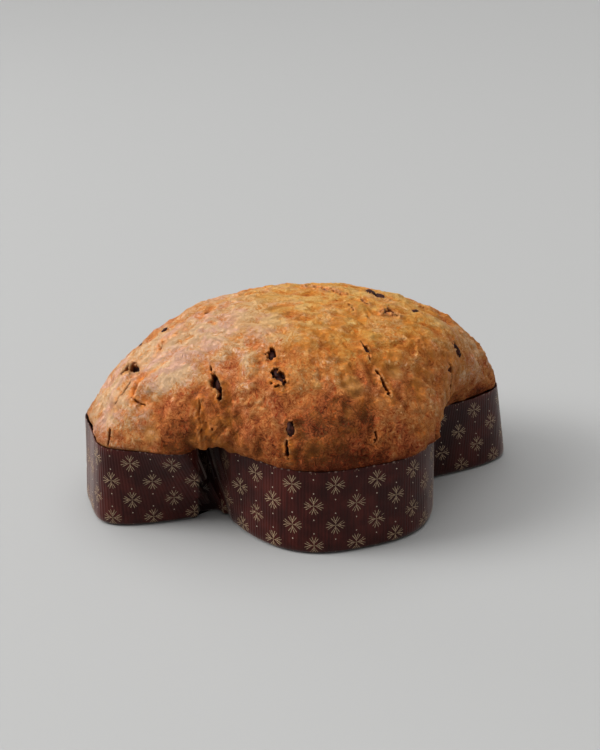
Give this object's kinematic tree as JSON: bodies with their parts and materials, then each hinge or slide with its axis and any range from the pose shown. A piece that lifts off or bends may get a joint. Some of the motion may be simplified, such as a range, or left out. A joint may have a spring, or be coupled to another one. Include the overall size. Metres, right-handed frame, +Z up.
{
  "type": "colomba cake",
  "caption": "Dove-shaped festive sweet bread with a domed browned crust, raisins and candied peel, baked in a cross-shaped printed paper mould.",
  "frame": {"origin": "middle of the underside of the paper mould, on the table", "axes": "+X from the tail towards the head, along the length; +Y from wing to wing; +Z up"},
  "size_m": [0.2932, 0.216, 0.1247],
  "materials": {
    "brown_paper": null,
    "baked_crust": null
  },
  "bodies": {
    "root": {"paper_mould": "brown_paper", "cake": "baked_crust"}
  },
  "joints": []
}
